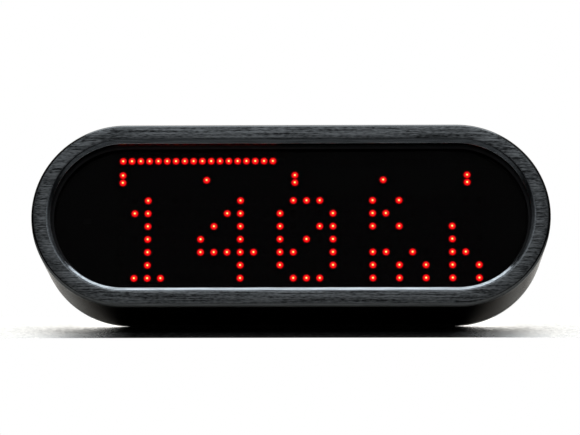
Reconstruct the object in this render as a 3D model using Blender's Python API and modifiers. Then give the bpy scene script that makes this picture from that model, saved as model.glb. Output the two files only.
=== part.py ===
"""LED dot-matrix speedometer for a motorcycle: a pill-shaped housing milled from aluminium, with a recessed
window, an LED board and a logic board inside, and a rear cover with a cable socket, a set-up button and two
rubber-mounted studs.

Frame: +X to the reader's right, -Y out of the front, +Z up. The origin is the middle of the flat underside.
Sizes are in millimetres and become metres where they enter a mesh. Parts are placed on an empty at the middle
of the front face, so their own coordinates are x, depth behind the front face, and height over the middle.
"""

import math

import bmesh
import bpy
from mathutils import Matrix, Vector

MM = 0.001

# Housing
WIDTH = 136.4
HEIGHT = 49.0
DEPTH = 29.0  # front face to the rear cover's outer face
RADIUS = HEIGHT / 2
HALF = WIDTH / 2 - RADIUS  # from the middle to the centre of an end's half circle
GAP = 0.3  # between parts that touch
OPENING = RADIUS - 5.3  # radius of the window opening
POCKET = RADIUS - 4.1  # radius of the pocket behind the lip
LIP = 4.2
OUTER_ROUND = 1.2
LIP_CHAMFER = 1.0
REAR_CHAMFER = 0.5
COVER_THICK = 2.4
HOUSING_BACK = DEPTH - COVER_THICK - GAP
END_STEPS = 16  # facets of an end's half circle
ROUND_STEPS = 20  # sides of a turned part
SMALL_STEPS = 12  # sides of a small one
BEYOND = 1.0  # how far a cutter reaches past the faces that it goes through

# The stack from the lip back: front and back depth of each layer
FITTED = POCKET - GAP  # radius of what sits in the pocket
BOARD_THICK = 1.6
GASKET = (LIP + GAP, LIP + GAP + 0.5)
GASKET_SHOWS = 0.5  # how far the gasket stands out of the opening's edge
WINDOW = (GASKET[1] + GAP, GASKET[1] + GAP + 1.8)
LED = (WINDOW[1] + GAP, WINDOW[1] + GAP + 0.8)
LED_BOARD = (LED[1] + GAP, LED[1] + GAP + BOARD_THICK)
SPACER = (LED_BOARD[1] + GAP, LED_BOARD[1] + GAP + 6.0)
LOGIC_BOARD = (SPACER[1] + GAP, SPACER[1] + GAP + BOARD_THICK)
BEHIND = LOGIC_BOARD[1] + GAP  # where parts on the back of the logic board start
COVER = (DEPTH - COVER_THICK, DEPTH)
FRAME_WALL = 1.2  # board_frame, round the LEDs

# LEDs, placed from the middle of the front face
LED_SIZE = 1.9
LED_BASE = 0.3  # thickness of the strip that joins a row
DOT_PITCH = 3.5
DOT_COLUMNS = 28
DOT_ROWS = 7
DOT_LEFT = -44.9
DOT_TOP = 5.5
BAR_PITCH = 2.344
BAR_COUNT = 40
BAR_MIDDLE = 1.0
BAR_HEIGHT = 16.3
SCALE_STEPS = (-19.5, -10, 0, 10, 19.5)  # in bar pitches from the bar's middle
SCALE_PAIR = (12.4, 10.4)  # heights of the two LEDs of a main mark
SCALE_SINGLE = 11.1

# What the boards carry: each size is x, depth and height, and each place is x and height
LOGIC_WIDTH = 92.0
LOGIC_HEIGHT = 34.0
LOGIC_CORNER = 0.4
SENSOR_SIZE = (2.0, 0.8, 1.3)
SENSOR_X = -54.0
DRIVER_SIZE = (15.4, 2.3, 7.5)
DRIVER_PITCH = 26.0
DRIVER_HEIGHT = 6.0
DRIVER_EDGE = 0.2
HEADER_WIDTH = 20.3
HEADER_HEIGHT = 5.0
HEADER_PLACE = -10.0
HEADER_EDGE = 0.3
SPACER_BORE = 1.3
LOGIC_PARTS = {  # size, place, material and rounded edge
    "microcontroller": ((10, 1.4, 10), (16, 7.5), "chip_plastic", 0.2),
    "crystal": ((11, 3.5, 4.5), (26, -6.5), "bright_steel", 0.8),
    "voltage_regulator": ((10, 4.4, 9), (-28, 5), "chip_plastic", 0.3),
    "power_inductor": ((7, 4.0, 7), (15, -7.5), "chip_plastic", 0.6),
}
CAN_RADIUS = 4.0
CAN_LENGTH = 6.2
CAN_EDGE = 0.4
CAN_PLACES = [(-16, 7.0), (-16, -6.0)]

# Rear cover
COVER_SET_BACK = 0.05  # how far its edge stays inside the housing's outline
COVER_EDGE = 0.4
SPIGOT = FITTED
SPIGOT_DEPTH = 2.7
SPIGOT_WALL = 3.0
GROOVE_DEPTH = 1.2
GROOVE = (COVER[0] - 2.3, COVER[0] - 0.7)
SEAL_CORD = 1.2
SEAL_SQUEEZE = 0.15  # how far it stands out of its groove
SCREW_RADIUS = 1.0
SCREW_HEAD = 1.6
SCREW_HEAD_DEPTH = 0.9
SCREW_SUNK = 0.1  # how far a head sits under the cover's face
SCREW_LENGTH = 8.0
SCREW_HEX = 0.7
SCREW_HEX_DEPTH = 0.7
SCREW_LINE = 22.0  # screws' distance from the centre line, in the housing's wall
SCREW_X = 22.0
SCREW_PLACES = [
    (-HALF - SCREW_LINE, 0),
    (-SCREW_X, SCREW_LINE),
    (SCREW_X, SCREW_LINE),
    (HALF + SCREW_LINE, 0),
    (SCREW_X, -SCREW_LINE),
    (-SCREW_X, -SCREW_LINE),
]
HOLE_GAP = 0.15  # round a screw, a stud or a nut's thread
POST_RADIUS = 3.0
POST_PLACES = [(x, z) for x in (-40, 40) for z in (-12, 12)]

# Mounting studs, M5, with rubber buffers
STUD_SPACING = 61.0
STUD_HEIGHT = -15.0
STUD_RADIUS = 2.5
STUD_BOSS = 3.8
STUD_BOSS_LENGTH = 3.6  # inside the cover
STUD_HOLE_DEPTH = 2.2
STUD_SUNK = 2.0  # how far a stud goes in past the cover's inner face
STUD_EDGE = 0.5
STUD_REACH = 20.0
BUFFER_RADIUS = 7.5
BUFFER_EDGE = 0.4
BUFFER_LENGTH = 7.7
PANEL = 3.0  # room left for a bracket between buffer and washer
WASHER_RADIUS = 5.0
WASHER_THICK = 1.0
NUT_ACROSS_FLATS = 8.0
NUT_THICK = 4.0

# Cable socket
SOCKET_RADIUS = 6.0
SOCKET_BORE = 4.7
SOCKET_FLANGE = 7.5
SOCKET_FLANGE_DEPTHS = (DEPTH + 1.1, DEPTH + 3.1)
SOCKET_INSIDE = 21.0
SOCKET_END = DEPTH + 8.6
SOCKET_EDGE = 0.4
SOCKET_SEAL = (DEPTH + GAP, DEPTH + 0.8)
SOCKET_FACE = DEPTH + 3.0
SOCKET_PINS = 7
SOCKET_PIN_CIRCLE = 2.6
PIN_RADIUS = 0.5
PIN_DEPTH = 4.0
SOCKET_NUT = (COVER[0] - 2.3, COVER[0] - GAP)
SOCKET_NUT_CORNER = 9.2

# Set-up button
BUTTON_PLACE = (STUD_SPACING / 2, 7.0)
BUTTON_STEM = 2.0
BUTTON_CAP = 4.5
BUTTON_CAP_DEPTHS = (DEPTH + 1.1, DEPTH + 3.0)
BUTTON_CAP_ROUND = 0.8
BUTTON_COLLAR = 3.2  # the flange that keeps it in
BUTTON_COLLAR_DEPTHS = (COVER[0] - 1.4, COVER[0] - 0.6)
BUTTON_TIP = COVER[0] - 3.0
BUTTON_TRAVEL = 0.8
BUTTON_SEAL = (DEPTH - 1.1, DEPTH - 0.1)
BUTTON_SEAL_RADIUS = 3.5
SEAL_SEAT_DEPTH = 1.4
SWITCH_SIZE = 6.0
SWITCH_EDGE = 0.3
SWITCH_TOP = BUTTON_TIP - GAP - 1.7
SWITCH_STEM = 1.5
SWITCH_STEM_DEPTHS = (SWITCH_TOP - 0.7, BUTTON_TIP - GAP)

COLOURS = {
    "black_anodised": ((0.022, 0.025, 0.028), 0.42, 0.9),
    "smoked_window": ((0.010, 0.004, 0.004), 0.06, 0.0),
    "black_rubber": ((0.015, 0.015, 0.016), 0.75, 0.0),
    "red_led": ((0.90, 0.06, 0.03), 0.30, 0.0),
    "circuit_board": ((0.012, 0.045, 0.022), 0.45, 0.0),
    "chip_plastic": ((0.020, 0.020, 0.022), 0.50, 0.0),
    "bright_steel": ((0.62, 0.62, 0.63), 0.28, 1.0),
    "black_plastic": ((0.018, 0.018, 0.020), 0.50, 0.0),
}


def clear_scene():
    for obj in list(bpy.data.objects):
        bpy.data.objects.remove(obj, do_unlink=True)


def make_materials():
    made = {}
    for name, (colour, roughness, metallic) in COLOURS.items():
        material = bpy.data.materials.new(name)
        material.use_nodes = True
        shader = material.node_tree.nodes["Principled BSDF"]
        shader.inputs["Base Color"].default_value = (*colour, 1.0)
        shader.inputs["Roughness"].default_value = roughness
        shader.inputs["Metallic"].default_value = metallic
        made[name] = material
    return made


def new_collection(name):
    collection = bpy.data.collections.new(name)
    bpy.context.scene.collection.children.link(collection)
    return collection


def new_empty(name, place):
    empty = bpy.data.objects.new(name, None)
    empty.location = Vector(place) * MM
    parts.objects.link(empty)
    return empty


def add_part(name, mesh, material, place=(0, 0, 0), parent=None):
    """Puts a mesh in the scene as a named part, at x, depth and height."""
    obj = bpy.data.objects.new(name, mesh)
    mesh.materials.append(materials[material])
    obj.parent = parent or front
    obj.location = Vector(place) * MM
    parts.objects.link(obj)
    return obj


def mesh_from(bm, name):
    """Closes off a bmesh: faces turned outward, smooth where the surface is round."""
    bmesh.ops.remove_doubles(bm, verts=bm.verts, dist=1e-6)
    bmesh.ops.recalc_face_normals(bm, faces=bm.faces)
    mesh = bpy.data.meshes.new(name)
    bm.to_mesh(mesh)
    bm.free()
    mesh.shade_smooth()
    mesh.set_sharp_from_angle(angle=math.radians(35))
    return mesh


def arc(centre, radius, start, end, steps):
    """Points of a profile's rounded corner. Angles are in degrees, from outward round to the rear."""
    found = []
    for i in range(steps + 1):
        angle = math.radians(start + (end - start) * i / steps)
        found.append((centre[0] + radius * math.cos(angle), centre[1] + radius * math.sin(angle)))
    return found


def pill(name, profile, ring, material):
    """Takes a profile of (radius, depth) points round the pill shape. A ring's profile is closed."""
    bm = bmesh.new()
    verts = [bm.verts.new(Vector((HALF, depth, -radius)) * MM) for radius, depth in profile]
    geometry = [bm.edges.new(pair) for pair in zip(verts, verts[1:])]
    if ring:
        geometry.append(bm.edges.new((verts[-1], verts[0])))
    for side in (1, -1):
        turned = bmesh.ops.spin(
            bm,
            geom=geometry + list({v for edge in geometry for v in edge.verts}),
            cent=Vector((side * HALF * MM, 0, 0)),
            axis=(0, -1, 0),
            angle=math.pi,
            steps=END_STEPS,
        )
        last = [e for e in turned["geom_last"] if isinstance(e, bmesh.types.BMEdge)]
        run = bmesh.ops.extrude_edge_only(bm, edges=last)["geom"]
        moved = [v for v in run if isinstance(v, bmesh.types.BMVert)]
        bmesh.ops.translate(bm, verts=moved, vec=Vector((-side * 2 * HALF * MM, 0, 0)))
        geometry = [e for e in run if isinstance(e, bmesh.types.BMEdge)]
    return add_part(name, mesh_from(bm, name), material)


def turned(name, profile, ring, material, place=(0, 0, 0), parent=None, steps=ROUND_STEPS):
    """A turned part whose axis runs front to back. The profile's (radius, depth) points go from its rear end
    forward along the outside, and a ring's profile then comes back along its bore."""
    mesh = bpy.data.meshes.new(name)
    count = len(profile)
    edges = [(i, i + 1) for i in range(count - 1)]
    if ring:
        edges.append((count - 1, 0))
    mesh.from_pydata([(radius * MM, 0, depth * MM) for radius, depth in profile], edges, [])
    obj = add_part(name, mesh, material, place, parent)
    obj.rotation_euler = (-math.pi / 2, 0, 0)
    screw = obj.modifiers.new("Turn", "SCREW")
    screw.steps = steps
    screw.render_steps = steps
    screw.use_merge_vertices = True
    screw.merge_threshold = 1e-6
    screw.use_smooth_shade = True
    return obj


def ring(name, outer, inner, depths, material, place=(0, 0, 0), edge=0.0, steps=ROUND_STEPS):
    """A turned ring between two depths, with an optional chamfer on its outer edges."""
    near, far = depths
    profile = [(outer - edge, far), (outer, far - edge), (outer, near + edge), (outer - edge, near)]
    if not edge:
        profile = profile[1:3]
    profile += [(inner, near), (inner, far)]
    return turned(name, profile, True, material, place, steps=steps)


def box(name, size, place, material, edge=0.0, parent=None):
    """A box of x, depth and height sizes. Its place is the middle of its front face."""
    bm = bmesh.new()
    bmesh.ops.create_cube(bm, size=MM)
    bmesh.ops.scale(bm, vec=Vector(size), verts=bm.verts)
    bmesh.ops.translate(bm, vec=Vector((0, size[1] / 2 * MM, 0)), verts=bm.verts)
    obj = add_part(name, mesh_from(bm, name), material, place, parent)
    if edge:
        bevel = obj.modifiers.new("Edges", "BEVEL")
        bevel.width = edge * MM
        bevel.segments = 1
    return obj


def rods_mesh(name, rods, steps):
    """One mesh of straight rods, each (x, height, radius, near depth, far depth, far radius)."""
    bm = bmesh.new()
    for x, height, radius, near, far, far_radius in rods:
        place = Matrix.Translation(Vector((x, (near + far) / 2, height)) * MM)
        bmesh.ops.create_cone(
            bm,
            cap_ends=True,
            segments=steps,
            radius1=radius * MM,
            radius2=far_radius * MM,
            depth=(far - near) * MM,
            matrix=place @ Matrix.Rotation(-math.pi / 2, 4, "X"),
        )
    bmesh.ops.recalc_face_normals(bm, faces=bm.faces)
    mesh = bpy.data.meshes.new(name)
    bm.to_mesh(mesh)
    bm.free()
    return mesh


def combine(obj, operation, rods, steps=ROUND_STEPS):
    """Cuts rods out of a part, or joins them to it, with a helper that isn't a part."""
    name = f"{obj.name}_{operation.lower()}_{len(obj.modifiers)}"
    helper = bpy.data.objects.new(name, rods_mesh(name, rods, steps))
    helper.parent = front
    helper.hide_render = True
    helper.display_type = "WIRE"
    cutters.objects.link(helper)
    boolean = obj.modifiers.new(name, "BOOLEAN")
    boolean.operation = operation
    boolean.object = helper


def make_housing():
    profile = arc((RADIUS - OUTER_ROUND, OUTER_ROUND), OUTER_ROUND, -90, 0, 3)
    profile += [(RADIUS, HOUSING_BACK - REAR_CHAMFER), (RADIUS - REAR_CHAMFER, HOUSING_BACK)]
    profile += [(POCKET, HOUSING_BACK), (POCKET, LIP), (OPENING, LIP)]
    profile += [(OPENING, LIP_CHAMFER), (OPENING + LIP_CHAMFER, 0)]
    housing = pill("housing", profile, True, "black_anodised")
    near, far = HOUSING_BACK - SCREW_LENGTH, HOUSING_BACK + BEYOND
    hole = SCREW_RADIUS + HOLE_GAP
    holes = [(x, z, hole, near, far, hole) for x, z in SCREW_PLACES]
    combine(housing, "DIFFERENCE", holes, SMALL_STEPS)


def make_window():
    near, far = GASKET
    inner = OPENING - GASKET_SHOWS
    pill("window_gasket", [(FITTED, near), (FITTED, far), (inner, far), (inner, near)], True, "black_rubber")
    near, far = WINDOW
    pill("window_lens", [(0, near), (FITTED, near), (FITTED, far), (0, far)], False, "smoked_window")
    near, far = LED
    inner = FITTED - FRAME_WALL
    pill("board_frame", [(FITTED, near), (FITTED, far), (inner, far), (inner, near)], True, "black_plastic")


def led_row(name, first, pitch, count, height):
    """A row of LEDs on the strip that stands for their solder line, as one comb-shaped outline."""
    near, far = 0, LED[1] - LED[0]
    step = far - LED_BASE
    points = [(-LED_SIZE / 2, far)]
    for i in range(count):
        left = i * pitch - LED_SIZE / 2
        points += [(left, step), (left, near), (left + LED_SIZE, near), (left + LED_SIZE, step)]
    points = points[:1] + points[2:-1]
    points.append(((count - 1) * pitch + LED_SIZE / 2, far))
    curve = bpy.data.curves.new(name, "CURVE")
    curve.dimensions = "2D"
    curve.fill_mode = "BOTH"
    curve.extrude = LED_SIZE / 2 * MM
    spline = curve.splines.new("POLY")
    spline.points.add(len(points) - 1)
    for point, (x, depth) in zip(spline.points, points):
        point.co = (x * MM, depth * MM, 0, 1)
    spline.use_cyclic_u = True
    add_part(name, curve, "red_led", (first, LED[0], height))


def make_leds():
    for row in range(DOT_ROWS):
        height = DOT_TOP - row * DOT_PITCH
        led_row(f"matrix_row_{row + 1}", DOT_LEFT, DOT_PITCH, DOT_COLUMNS, height)
    first = BAR_MIDDLE - (BAR_COUNT - 1) / 2 * BAR_PITCH
    led_row("rev_bar_leds", first, BAR_PITCH, BAR_COUNT, BAR_HEIGHT)
    for i, step in enumerate(SCALE_STEPS):
        tall = i % 2 == 0
        middle = sum(SCALE_PAIR) / 2 if tall else SCALE_SINGLE
        length = SCALE_PAIR[0] - SCALE_PAIR[1] + LED_SIZE if tall else LED_SIZE
        size = (LED_SIZE, LED[1] - LED[0], length)
        box(f"scale_led_{i + 1}", size, (BAR_MIDDLE + step * BAR_PITCH, LED[0], middle), "red_led")


def make_boards():
    near, far = LED_BOARD
    pill("led_board", [(0, near), (FITTED, near), (FITTED, far), (0, far)], False, "circuit_board")
    size = (LOGIC_WIDTH, BOARD_THICK, LOGIC_HEIGHT)
    box("logic_board", size, (0, LOGIC_BOARD[0], 0), "circuit_board", LOGIC_CORNER)
    box("light_sensor", SENSOR_SIZE, (SENSOR_X, LED[0], 0), "chip_plastic")
    for i in range(3):
        place = ((i - 1) * DRIVER_PITCH, SPACER[0], DRIVER_HEIGHT)
        box(f"led_driver_{i + 1}", DRIVER_SIZE, place, "chip_plastic", DRIVER_EDGE)
    size = (HEADER_WIDTH, SPACER[1] - SPACER[0], HEADER_HEIGHT)
    box("board_header", size, (0, SPACER[0], HEADER_PLACE), "black_plastic", HEADER_EDGE)
    for i, (x, z) in enumerate(POST_PLACES):
        place = (x, 0, z)
        name = f"board_spacer_{i + 1}"
        ring(name, POST_RADIUS, SPACER_BORE, SPACER, "bright_steel", place, steps=SMALL_STEPS)
    for name, (size, (x, z), material, edge) in LOGIC_PARTS.items():
        box(name, size, (x, BEHIND, z), material, edge)
    can = [(0, CAN_LENGTH), (CAN_RADIUS - CAN_EDGE, CAN_LENGTH), (CAN_RADIUS, CAN_LENGTH - CAN_EDGE)]
    can += [(CAN_RADIUS, 0), (0, 0)]
    for i, (x, z) in enumerate(CAN_PLACES):
        turned(f"capacitor_{i + 1}", can, False, "bright_steel", (x, BEHIND, z))


def make_cover():
    inner = SPIGOT - SPIGOT_WALL
    floor = SPIGOT - GROOVE_DEPTH
    edge = RADIUS - COVER_SET_BACK
    profile = [(0, COVER[0]), (inner, COVER[0]), (inner, COVER[0] - SPIGOT_DEPTH)]
    profile += [(SPIGOT, COVER[0] - SPIGOT_DEPTH), (SPIGOT, GROOVE[0]), (floor, GROOVE[0])]
    profile += [(floor, GROOVE[1]), (SPIGOT, GROOVE[1]), (SPIGOT, COVER[0]), (edge, COVER[0])]
    profile += [(edge, COVER[1] - COVER_EDGE), (edge - COVER_EDGE, COVER[1]), (0, COVER[1])]
    cover = pill("rear_cover", profile, False, "black_anodised")
    into = COVER[0] + BEYOND
    posts = [(x, z, POST_RADIUS, BEHIND, into, POST_RADIUS) for x, z in POST_PLACES]
    bosses = [
        (x, STUD_HEIGHT, STUD_BOSS, COVER[0] - STUD_BOSS_LENGTH, into, STUD_BOSS)
        for x in (-STUD_SPACING / 2, STUD_SPACING / 2)
    ]
    combine(cover, "UNION", posts + bosses, 16)
    out = DEPTH + BEYOND
    stud = STUD_RADIUS + HOLE_GAP
    holes = [(x, STUD_HEIGHT, stud, COVER[0] - STUD_HOLE_DEPTH, out, stud) for x, *_ in bosses]
    socket = SOCKET_RADIUS + GAP
    holes.append((0, 0, socket, COVER[0] - BEYOND, out, socket))
    stem = BUTTON_STEM + GAP
    holes.append((*BUTTON_PLACE, stem, COVER[0] - BEYOND, out, stem))
    combine(cover, "DIFFERENCE", holes)
    seat = BUTTON_SEAL_RADIUS + GAP
    combine(cover, "DIFFERENCE", [(*BUTTON_PLACE, seat, DEPTH - SEAL_SEAT_DEPTH, out, seat)])
    shank, head = SCREW_RADIUS + HOLE_GAP, SCREW_HEAD + HOLE_GAP
    under = DEPTH - SCREW_HEAD_DEPTH - HOLE_GAP
    sinks = [(x, z, shank + 0.1, under, DEPTH + 0.05, head) for x, z in SCREW_PLACES]
    shanks = [(x, z, shank, COVER[0] - BEYOND, under + GAP, shank) for x, z in SCREW_PLACES]
    combine(cover, "DIFFERENCE", shanks, SMALL_STEPS)
    combine(cover, "DIFFERENCE", sinks, SMALL_STEPS)


def make_cover_fasteners():
    middle = (FITTED + SEAL_SQUEEZE - SEAL_CORD / 2, sum(GROOVE) / 2)
    pill("cover_seal", arc(middle, SEAL_CORD / 2, 0, 300, 5), True, "black_rubber")
    back = DEPTH - SCREW_SUNK
    tip = back - SCREW_LENGTH
    neck = (SCREW_RADIUS, back - SCREW_HEAD_DEPTH)
    profile = [(0, back), (SCREW_HEAD, back), neck, (SCREW_RADIUS, tip), (0, tip)]
    for i, (x, z) in enumerate(SCREW_PLACES):
        screw = turned(f"cover_screw_{i + 1}", profile, False, "bright_steel", (x, 0, z), steps=SMALL_STEPS)
        key = (x, z, SCREW_HEX, back - SCREW_HEX_DEPTH, back + BEYOND, SCREW_HEX)
        combine(screw, "DIFFERENCE", [key], 6)


def make_mounting():
    for side, x in (("left", -STUD_SPACING / 2), ("right", STUD_SPACING / 2)):
        place = (x, 0, STUD_HEIGHT)
        near, far = COVER[0] - STUD_SUNK, DEPTH + STUD_REACH
        profile = [(0, far), (STUD_RADIUS - STUD_EDGE, far), (STUD_RADIUS, far - STUD_EDGE)]
        profile += [(STUD_RADIUS, near), (0, near)]
        turned(f"mount_stud_{side}", profile, False, "bright_steel", place)
        hole = STUD_RADIUS + HOLE_GAP
        depth = DEPTH + GAP
        buffer = (depth, depth + BUFFER_LENGTH)
        ring(f"mount_buffer_{side}", BUFFER_RADIUS, hole, buffer, "black_rubber", place, BUFFER_EDGE)
        depth = buffer[1] + PANEL
        washer = (depth, depth + WASHER_THICK)
        ring(f"stud_washer_{side}", WASHER_RADIUS, hole, washer, "bright_steel", place)
        depth = washer[1] + GAP
        corner = NUT_ACROSS_FLATS / math.sqrt(3)
        rod = (0, 0, corner, 0, NUT_THICK, corner)
        mesh = rods_mesh("nut", [rod], 6)
        nut = add_part(f"stud_nut_{side}", mesh, "bright_steel", (x, depth, STUD_HEIGHT))
        bore = (x, STUD_HEIGHT, hole, depth - BEYOND, depth + NUT_THICK + BEYOND, hole)
        combine(nut, "DIFFERENCE", [bore])


def make_socket():
    near, far = SOCKET_FLANGE_DEPTHS
    profile = [(SOCKET_RADIUS - SOCKET_EDGE, SOCKET_END), (SOCKET_RADIUS, SOCKET_END - SOCKET_EDGE)]
    profile += [(SOCKET_RADIUS, far), (SOCKET_FLANGE, far), (SOCKET_FLANGE, near), (SOCKET_RADIUS, near)]
    profile += [(SOCKET_RADIUS, SOCKET_INSIDE), (SOCKET_BORE, SOCKET_INSIDE), (SOCKET_BORE, SOCKET_END)]
    turned("socket_shell", profile, True, "bright_steel")
    ring("socket_seal", SOCKET_FLANGE, SOCKET_RADIUS + GAP, SOCKET_SEAL, "black_rubber")
    core = SOCKET_BORE - GAP
    profile = [(0, SOCKET_FACE), (core, SOCKET_FACE), (core, BEHIND), (0, BEHIND)]
    insert = turned("socket_insert", profile, False, "black_plastic")
    pins = [(0, 0)]
    for i in range(SOCKET_PINS):
        angle = 2 * math.pi * i / SOCKET_PINS
        pins.append((SOCKET_PIN_CIRCLE * math.cos(angle), SOCKET_PIN_CIRCLE * math.sin(angle)))
    near, far = SOCKET_FACE - PIN_DEPTH, SOCKET_FACE + BEYOND
    combine(insert, "DIFFERENCE", [(x, z, PIN_RADIUS, near, far, PIN_RADIUS) for x, z in pins], 8)
    near, far = SOCKET_NUT
    mesh = rods_mesh("socket_nut", [(0, 0, SOCKET_NUT_CORNER, 0, far - near, SOCKET_NUT_CORNER)], 6)
    nut = add_part("socket_nut", mesh, "bright_steel", (0, near, 0))
    hole = SOCKET_RADIUS + HOLE_GAP
    combine(nut, "DIFFERENCE", [(0, 0, hole, near - BEYOND, far + BEYOND, hole)])


def make_button():
    x, z = BUTTON_PLACE
    near, far = BUTTON_CAP_DEPTHS
    corner = (BUTTON_CAP - BUTTON_CAP_ROUND, far - BUTTON_CAP_ROUND)
    profile = [(0, far)] + arc(corner, BUTTON_CAP_ROUND, 90, 0, 2)
    profile += [(BUTTON_CAP, near), (BUTTON_STEM, near)]
    near, far = BUTTON_COLLAR_DEPTHS
    profile += [(BUTTON_STEM, far), (BUTTON_COLLAR, far), (BUTTON_COLLAR, near), (BUTTON_STEM, near)]
    profile += [(BUTTON_STEM, BUTTON_TIP), (0, BUTTON_TIP)]
    axis = new_empty("button_axis", (x, -DEPTH / 2, RADIUS + z))
    turned("mode_button", profile, False, "black_rubber", parent=axis)
    ring("button_seal", BUTTON_SEAL_RADIUS, BUTTON_STEM + GAP, BUTTON_SEAL, "black_rubber", (x, 0, z))
    near, far = SWITCH_STEM_DEPTHS
    profile = [(0, far), (SWITCH_STEM, far), (SWITCH_STEM, near), (0, near)]
    turned("switch_stem", profile, False, "black_plastic", parent=axis)
    size = (SWITCH_SIZE, SWITCH_TOP - BEHIND, SWITCH_SIZE)
    switch = box("button_switch", size, (x, BEHIND, z), "chip_plastic", SWITCH_EDGE)
    well = near - BUTTON_TRAVEL - GAP
    hole = SWITCH_STEM + GAP
    combine(switch, "DIFFERENCE", [(x, z, hole, well, SWITCH_TOP + BEYOND, hole)], 16)


clear_scene()
materials = make_materials()
parts = new_collection("led_speedometer")
cutters = new_collection("cutters")
front = new_empty("front_face", (0, -DEPTH / 2, RADIUS))
make_housing()
make_window()
make_leds()
make_boards()
make_cover()
make_cover_fasteners()
make_mounting()
make_socket()
make_button()
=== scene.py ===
"""Looks of the LED dot-matrix speedometer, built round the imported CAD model.

Lengths are metres in the model's own axes: +X to the reader's right, -Y out of the display, +Z up. Places
come from the CAD nodes' boxes. The instrument stands upright in its frame, so the shelf that it leans back on
is tilted instead, and the camera looks along that shelf.
"""

import math

import bmesh
import bpy
from mathutils import Matrix, Vector


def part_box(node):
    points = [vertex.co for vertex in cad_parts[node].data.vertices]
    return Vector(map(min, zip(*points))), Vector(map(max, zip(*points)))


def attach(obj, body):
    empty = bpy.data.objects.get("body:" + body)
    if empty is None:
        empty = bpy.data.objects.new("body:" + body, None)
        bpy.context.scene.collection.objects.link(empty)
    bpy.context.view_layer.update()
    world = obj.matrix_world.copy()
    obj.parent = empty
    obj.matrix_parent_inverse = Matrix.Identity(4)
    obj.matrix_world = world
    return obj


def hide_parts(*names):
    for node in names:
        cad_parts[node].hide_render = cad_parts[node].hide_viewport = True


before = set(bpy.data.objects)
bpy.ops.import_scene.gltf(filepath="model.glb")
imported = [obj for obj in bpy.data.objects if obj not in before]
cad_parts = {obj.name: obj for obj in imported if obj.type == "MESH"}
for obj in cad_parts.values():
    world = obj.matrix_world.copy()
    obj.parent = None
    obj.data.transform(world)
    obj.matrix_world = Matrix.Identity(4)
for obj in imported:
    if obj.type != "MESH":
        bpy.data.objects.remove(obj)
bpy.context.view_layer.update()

MM = 0.001
BODY = "instrument"

# The housing's pill shape, from its CAD box
HOUSING_LOW, HOUSING_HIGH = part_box("housing")
COVER_LOW, COVER_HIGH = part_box("rear_cover")
MIDDLE = (HOUSING_LOW.z + HOUSING_HIGH.z) / 2
RADIUS = (HOUSING_HIGH.z - HOUSING_LOW.z) / 2
HALF = (HOUSING_HIGH.x - HOUSING_LOW.x) / 2 - RADIUS
FRONT = HOUSING_LOW.y
END_STEPS = 64
ROUND_STEPS = 48

RIM = 5.15 * MM  # width of the bezel round the window
WALL = 4.1 * MM  # thickness of the housing's side
RECESS = 4.2 * MM  # from the bezel's face to the shoulder that the window's seal sits on
OUTER_ROUND = 1.2 * MM
REAR_ROUND = 0.5 * MM
LIP_WIDTH = 1.15 * MM  # of the bevel round the window
LIP_SLOPE = 35  # degrees that the bevel turns in from the bezel's face
LIP_BLEND = 1.9 * MM  # radius between the bezel's face and the bevel
LIP_EDGE = 0.25 * MM  # radius between the bevel and the wall down to the window
FLAT = 1.1 * MM  # width of the bezel's flat strip, outside the bevel
CROWN = 18  # degrees that the bezel's face has turned by where it meets its outer rounding

# The display: which LEDs are lit, by first column and rows from the top
GLYPHS = (
    (1, (".#.", "##.", ".#.", ".#.", ".#.", ".#.", "###")),
    (6, ("...#.", "..##.", ".#.#.", "#..#.", "#####", "...#.", "...#.")),
    (12, (".###.", "#...#", "#..##", "#.#.#", "##..#", "#...#", ".###.")),
    (19, ("#.#..", "##...", "#.#..", ".....", "##.#.", "#.#.#", "#.#.#")),
    (25, ("...", "...", "#..", "#..", "##.", "#.#", "#.#")),
)
COLUMNS = 28
ROWS = 7
BAR_COUNT = 40
BAR_LIT = 18
SCALE_MARKS = 5
SCALE_PAIRS = (1, 3, 5)  # the marks that are two LEDs tall

# Camera, as seen from the middle of the front face
CAMERA_DISTANCE = 0.70
CAMERA_BELOW = math.radians(13.07)
CAMERA_TURN = math.radians(1.03)
CAMERA_ROLL = math.radians(0.123)
CAMERA_LENS = 165.9
FRAMING = Vector((0.13, 0.88)) * MM  # how far the front face's middle sits from the view's, right and up
LEAN = math.radians(14.0)  # how far the instrument leans back from the shelf's upright

# Shared by the pieces behind
PLATE = 2.4 * MM  # thickness of the back plate
HOLE_GAP = 0.15 * MM  # between a stud or screw head and its hole
COLLAR = 6.0 * MM  # radius of the cable socket's threaded collar
BUTTON_STEM = 2.0 * MM  # radius
BUTTON_RISE = 1.1 * MM  # from the back plate to the underside of the button's cap, at rest
SCREWS = 6
PAST = 1.0 * MM  # how far a cutter reaches past the face that it cuts

# The shelf, which passes under the buffers' lower edges
SHELF_REACH = (0.35, 0.059, 0.034)  # from the buffers to each side, to the front and to the back
SHELF_INSET = 0.4 * MM  # from the buffers' rear faces to where they stand
SHELF_LIFT = 0.04 * MM  # how far the buffers' edges are pressed in there
SHELF_POLISH = (0.040, 0.062, 0.13, 0.5)  # the lacquer's roughness, by distance sideways
SHELF_RUB = (0.025, 0.055, 1.0, 0.6)  # what multiplies it, by distance back


# ---------------------------------------------------------------- mesh building


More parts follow.
